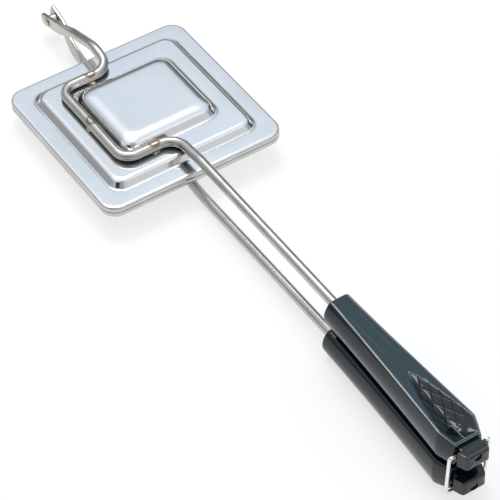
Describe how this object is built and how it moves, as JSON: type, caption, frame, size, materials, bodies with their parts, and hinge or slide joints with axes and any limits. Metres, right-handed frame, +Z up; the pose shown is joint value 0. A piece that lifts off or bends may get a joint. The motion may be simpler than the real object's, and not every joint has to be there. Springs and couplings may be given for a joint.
{
  "type": "pie iron",
  "caption": "Two square stepped steel plates on bent rod arms, riveted behind the plates, with black moulded handles that a swinging wire bail holds shut.",
  "frame": {"origin": "on the flat underside that the closed iron is set down on, below the centre of the plates", "axes": "+X from the hinge to the handles, +Y across the plates, +Z up through both plates"},
  "size_m": [0.4393, 0.12, 0.0428],
  "materials": {
    "plate_steel": "bright pressed stainless sheet",
    "rod_steel": "satin drawn rod",
    "weld_steel": "heat tinted weld",
    "rivet_steel": "plated",
    "handle_plastic": "satin black moulding",
    "screw_steel": "plated",
    "wire_steel": "bright drawn wire"
  },
  "bodies": {
    "lower_half": {"lower_plate": "plate_steel", "lower_arm": "rod_steel", "lower_welds": "weld_steel", "hinge_rivet": "rivet_steel", "hinge_collar": "rivet_steel", "lower_handle": "handle_plastic", "lower_handle_screw": "screw_steel"},
    "upper_half": {"upper_plate": "plate_steel", "upper_arm": "rod_steel", "upper_welds": "weld_steel", "upper_handle": "handle_plastic", "upper_handle_screw": "screw_steel"},
    "bail": {"bail": "wire_steel"}
  },
  "joints": [
    {"name": "iron_hinge", "type": "hinge", "parent": "lower_half", "child": "upper_half", "pos_m": [-0.1074, 0, 0.015], "axis": [0, -1, 0], "range_deg": [0, 180]},
    {"name": "bail_swing", "type": "hinge", "parent": "upper_half", "child": "bail", "pos_m": [0.31684, 0, 0.02643], "axis": [0, -1, 0], "range_deg": [0, 180]}
  ]
}
